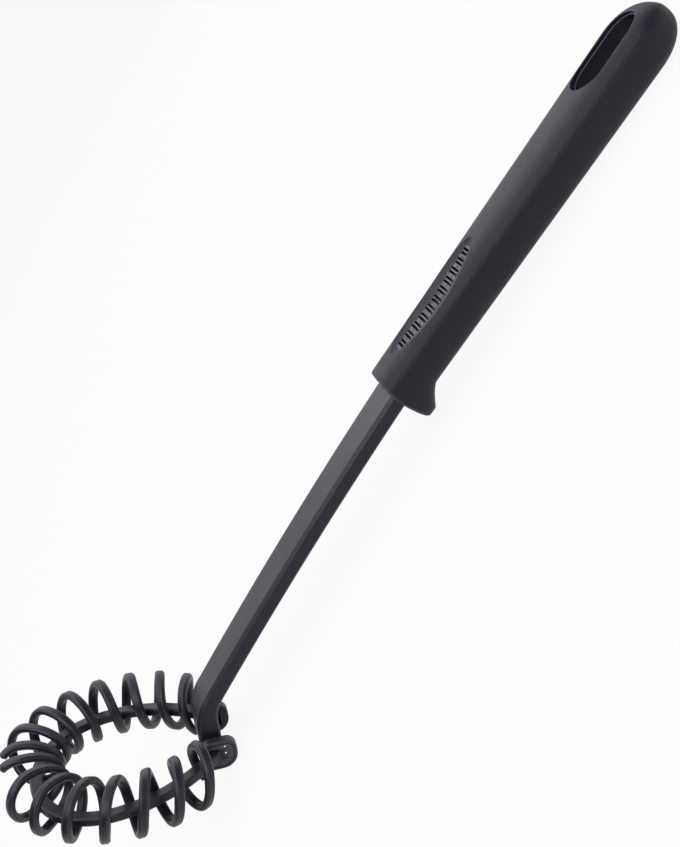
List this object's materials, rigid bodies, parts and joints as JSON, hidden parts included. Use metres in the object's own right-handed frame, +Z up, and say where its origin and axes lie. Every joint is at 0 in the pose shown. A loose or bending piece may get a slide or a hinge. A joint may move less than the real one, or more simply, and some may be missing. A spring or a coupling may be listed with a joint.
{
  "type": "coil whisk",
  "caption": "Black plastic coil whisk: springy coils wound on a tilted ring, a bowed flat arm and a rounded grip with a thumb dish, a pot rest and a hanging slot.",
  "frame": {"origin": "on the table, below the middle of the tool's box, with the tool lying thumb side up", "axes": "+X from the coils to the butt of the grip, +Z up out of the thumb side, XZ is the plane of symmetry"},
  "size_m": [0.2966, 0.074, 0.0609],
  "materials": {
    "grip": "satin, finely grained",
    "nylon": "satin, smooth moulded"
  },
  "bodies": {
    "root": {"handle": "grip", "arm": "nylon", "ring": "nylon", "coil_left": "nylon", "coil_right": "nylon"}
  },
  "joints": []
}
